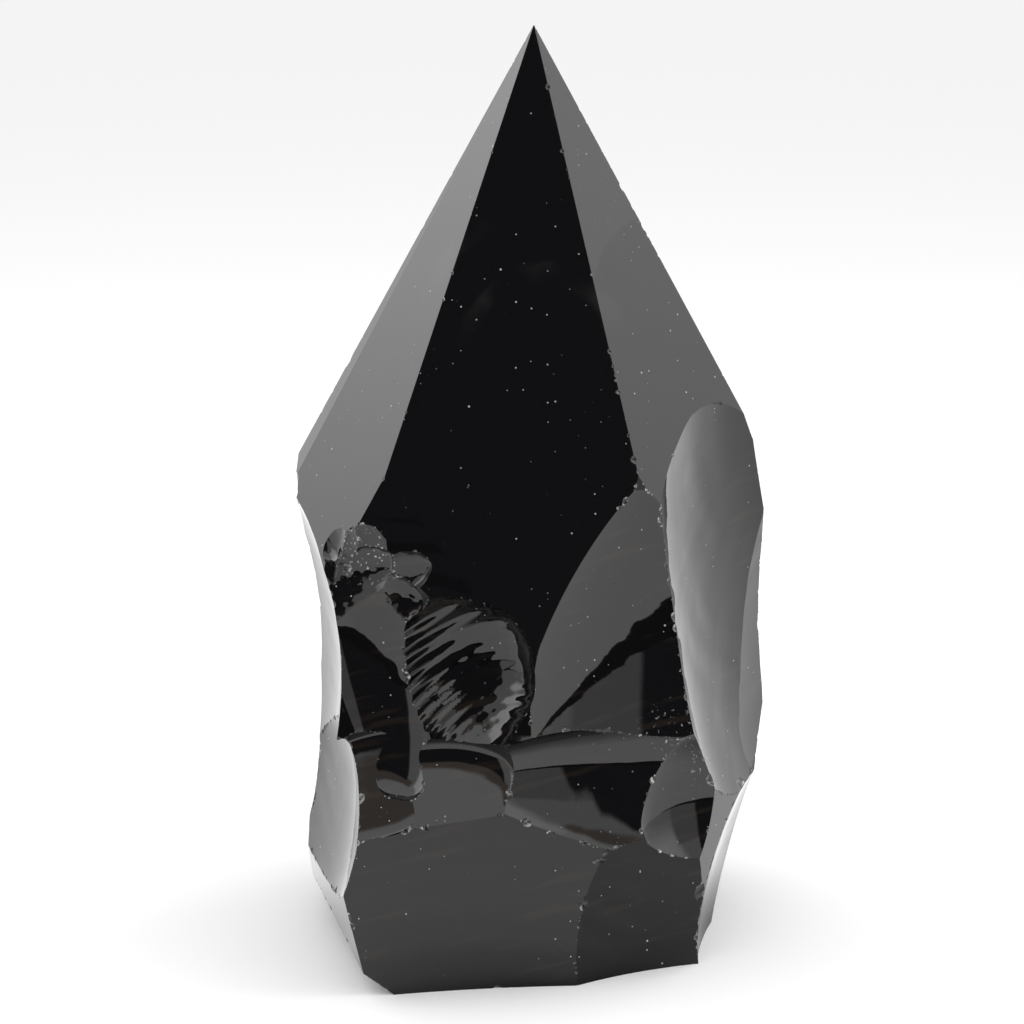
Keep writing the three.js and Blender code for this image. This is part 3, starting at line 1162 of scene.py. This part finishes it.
@dataclass(frozen=True)
class KnappedPoint:
    """The whole stone: the ground block, every flake struck off it, and its worn edges."""

    skins: dict[Skin, bpy.types.Material]
    facets: tuple[Plane, ...] = POLISHED_FACETS
    faces: tuple[Plane, ...] = BROKEN_FACES
    scars: tuple[Scar, ...] = FLAKE_SCARS
    lens: FlakeLens = FlakeLens()
    wear: EdgeWear = EdgeWear()

    def trimmed_block(self) -> bpy.types.Object:
        """Cut every facet and broken face flat on the block.

        Returns:
            The block, whose flat faces are numbered from -1 downwards.
        """
        planes = (*self.facets, *self.faces)
        shape = bmesh.new()
        size = Matrix.Diagonal((*BLOCK_MM, 1.0))
        bmesh.ops.create_cube(shape, size=1.0, matrix=Matrix.Translation((0, 0, BLOCK_MM[2] / 2)) @ size)
        for number, plane in enumerate(planes):
            skin = Skin.POLISHED if number < len(self.facets) else Skin.STRUCK
            cut_flat(shape, plane.at, plane.outward(), skin.value)
        bmesh.ops.recalc_face_normals(shape, faces=shape.faces)
        mesh = bpy.data.meshes.new("trimmed_block")
        shape.to_mesh(mesh)
        shape.free()
        for skin in Skin:
            mesh.materials.append(self.skins[skin])
        marks = mesh.attributes.new(SCAR_ID, "INT", "FACE")
        outs = [plane.outward() for plane in planes]
        for face, mark in zip(mesh.polygons, marks.data):
            mark.value = -1 - max(range(len(outs)), key=lambda number: outs[number].dot(face.normal))
        return object_of("trimmed_block", mesh)

    def build(self) -> bpy.types.Object:
        """Knap the whole stone.

        Returns:
            The finished stone at the origin, in metres.
        """
        tree = self.lens.tree()
        flakes = [
            self.lens.struck(scar, number, tree, self.skins[scar.skin])
            for number, scar in enumerate(self.scars)
        ]
        body = struck_with(self.trimmed_block(), flakes)
        body = struck_with(body, self.wear.chips(body.data, self.skins[Skin.CRUSHED]))
        mesh = body.data
        keep_largest(mesh)
        mesh.transform(Matrix.Translation(TO_CENTRE_MM * MM) @ Matrix.Scale(MM, 4))
        sharpen(mesh, (*self.facets, *self.faces))
        body.name = "obsidian"
        return body


# ---------------------------------------------------------------- studio


@dataclass(frozen=True)
class Panel:
    """A soft patch of the room that mirrors show: a softbox, a window, or a black flag.

    It is centred on a direction (azimuth 0 is the front, 90 the right) and reaches `spread`
    degrees to each side and up and down; `soft` degrees more fade it out.
    """

    name: str
    azimuth: float
    elevation: float
    spread: tuple[float, float]
    soft: tuple[float, float]
    glow: tuple[float, float, float]


@dataclass(frozen=True)
class Lamp:
    """A wide soft disc of light that only the floor and the dust catch; mirrors don't show it."""

    name: str
    place: tuple[float, float, float]
    power: float
    size: float = 0.6


PANELS = (
    Panel("left_softbox", -108, 50, (34, 30), (10, 18), (2.9, 2.9, 2.9)),
    Panel("right_softbox", 112, 50, (42, 25), (14, 22), (2.0, 2.0, 2.0)),
    Panel("overhead", 0, 90, (180, 34), (1, 8), (1.45, 1.45, 1.45)),
    Panel("front_shelf", 0, 53, (55, 4), (8, 4), (0.5, 0.42, 0.36)),
    Panel("front_dim", 42, 5, (18, 20), (5, 3), (0.65, 0.65, 0.66)),
    Panel("front_dark", -5, 15, (36, 33), (4, 3), (0.03, 0.03, 0.035)),
    Panel("back_dark", 180, 36, (28, 13), (8, 5), (0.05, 0.05, 0.05)),
)

LAMPS = (
    Lamp("lamp_left", (-0.4, 0.1, 0.4), 1.1),
    Lamp("lamp_right", (0.4, 0.1, 0.4), 1.3),
)


@dataclass(frozen=True)
class Studio:
    """The pale floor, the soft light and the camera, in metres and degrees."""

    floor_reach: float = 3.0
    floor_tone: float = 0.97
    # Painted light and painted shadow on the floor that mirrors see.
    floor_glow: float = 1.3
    table_front: float = 0.6
    front_shade: float = 0.62
    foot_shade: float = 0.8
    painted_right_light_gain: float = 0.12
    room_glow: float = 0.93
    lens_mm: float = 127.5
    sensor_mm: float = 36.0
    camera_reach: float = 0.72
    camera_lift: float = 14.0
    camera_aim: tuple[float, float, float] = (-0.00385, 0.0049, 0.0835)

    def painted_floor_light_and_shadow(self, bench: Bench) -> Wire:
        """Work out how bright the stone's mirror faces show each spot of the floor.

        A painted shadow darkens the floor close to the stone, most of all in front, painted light brightens
        its right side, and the floor ends at the table's edge.

        Args:
            bench: The floor's shader tree.

        Returns:
            The brightness.
        """
        place_x, place_y, _ = bench.split(bench.add("ShaderNodeTexCoord", None, None, "Object"))
        on_table = (place_y + self.table_front).between(-0.01, 0.01)
        around = (place_x * place_x + place_y * place_y) ** 0.5
        # Painted shadow in front of the stone and round its foot; painted light to the right.
        ahead = (place_y * -1.0).between(0.015, 0.04)
        front = 1.0 - ahead * (1.0 - around.between(0.05, 0.1)) * self.front_shade
        foot = around.between(0.03, 0.06) * self.foot_shade + (1.0 - self.foot_shade)
        right = place_x.between(0.0, 0.1) * self.painted_right_light_gain + 1.0
        return on_table * (front * foot) * right * self.floor_glow

    def floor(self) -> bpy.types.Object:
        """Lay the pale floor.

        Returns:
            The floor, which is staged and not part of the object.
        """
        r = self.floor_reach
        mesh = bpy.data.meshes.new("floor")
        mesh.from_pydata([(-r, -r, 0), (r, -r, 0), (r, r, 0), (-r, r, 0)], [], [(0, 1, 2, 3)])
        paint = bpy.data.materials.new("pale_floor")
        paint.use_nodes = True
        paint.node_tree.nodes.clear()
        bench = Bench(paint.node_tree)
        tone = self.floor_tone
        matt = bench.add("ShaderNodeBsdfDiffuse", None, {"Color": (tone, tone, tone, 1.0)})
        # Mirrors see an emitting floor with painted light and painted shadow; the camera sees a plain matt
        # floor.
        glow = self.painted_floor_light_and_shadow(bench)
        mirrored = bench.add("ShaderNodeEmission", None, {"Color": WHITE, "Strength": glow})
        seen = bench.add("ShaderNodeLightPath", None, None, "Is Glossy Ray")
        mixed = bench.add("ShaderNodeMixShader", None, [seen, matt, mirrored])
        bench.add("ShaderNodeOutputMaterial", None, {"Surface": mixed})
        mesh.materials.append(paint)
        floor = object_of("floor", mesh)
        return floor

    def world(self) -> None:
        """Light everything from a soft white room that mirrors see as softboxes and flags."""
        world = bpy.data.worlds.new("studio")
        bpy.context.scene.world = world
        world.use_nodes = True
        world.node_tree.nodes.clear()
        bench = Bench(world.node_tree)
        east, north, up = bench.split(bench.add("ShaderNodeTexCoord", None, None, "Generated"))
        lift = bench.add("ShaderNodeMath", {"operation": "ARCSINE"}, [up]) * math.degrees(1.0)
        level = (east * east + north * north) ** 0.5
        colour: Wire | tuple = WHITE
        for panel in PANELS:
            turn = math.radians(panel.azimuth)
            facing = (east * math.sin(turn) - north * math.cos(turn)) / level
            aside = bench.add("ShaderNodeMath", {"operation": "ARCCOSINE"}, [facing]) * math.degrees(1.0)
            height = (lift - panel.elevation).size()
            beyond = aside.between(panel.spread[0], panel.spread[0] + panel.soft[0])
            outside = height.between(panel.spread[1], panel.spread[1] + panel.soft[1])
            mask = (1.0 - beyond) * (1.0 - outside)
            colour = bench.blend(mask, colour, (*panel.glow, 1.0))
        seen = bench.add("ShaderNodeLightPath", None, None, "Is Glossy Ray")
        room = bench.add("ShaderNodeBackground", None, {"Color": colour, "Strength": 1.0})
        plain = bench.add("ShaderNodeBackground", None, {"Color": WHITE, "Strength": self.room_glow})
        mixed = bench.add("ShaderNodeMixShader", None, [seen, plain, room])
        bench.add("ShaderNodeOutputWorld", None, {"Surface": mixed})

    def lamps(self) -> None:
        """Hang the lamps so that each faces the origin."""
        for lamp in LAMPS:
            light = bpy.data.lights.new(lamp.name, "AREA")
            light.shape = "DISK"
            light.size = lamp.size
            light.energy = lamp.power
            hung = bpy.data.objects.new(lamp.name, light)
            bpy.context.scene.collection.objects.link(hung)
            hung.location = lamp.place
            hung.rotation_euler = (-hung.location).to_track_quat("-Z", "Y").to_euler()
            hung.visible_glossy = False

    def camera(self) -> bpy.types.Object:
        """Set up the camera in front of the stone, looking a little down.

        Returns:
            The scene's camera.
        """
        lens = bpy.data.cameras.new("camera")
        lens.lens = self.lens_mm
        lens.sensor_width = self.sensor_mm
        lens.clip_start = 0.01
        camera = bpy.data.objects.new("camera", lens)
        bpy.context.scene.collection.objects.link(camera)
        lift = math.radians(self.camera_lift)
        back = Vector((0.0, -math.cos(lift), math.sin(lift)))
        camera.location = Vector(self.camera_aim) + back * self.camera_reach
        camera.rotation_euler = (-back).to_track_quat("-Z", "Y").to_euler()
        bpy.context.scene.camera = camera
        return camera

    def build(self) -> None:
        """Set up the whole studio."""
        self.floor()
        self.world()
        self.lamps()
        self.camera()
        bpy.context.scene.view_settings.view_transform = "Standard"


# ---------------------------------------------------------------- making


def main() -> None:
    """Build the stone and the studio, in order."""
    logging.basicConfig(level=logging.INFO, format="%(name)s: %(message)s")
    finishes = {Skin.POLISHED: PolishedGlass(), Skin.STRUCK: StruckGlass(), Skin.CRUSHED: CrushedGlass()}
    stone = KnappedPoint({skin: finish.material() for skin, finish in finishes.items()}).build()
    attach(stone, "root")
    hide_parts(NODE)
    LOG.info("%s has %d faces", stone.name, len(stone.data.polygons))
    Studio().build()


if __name__ == "__main__":
    main()
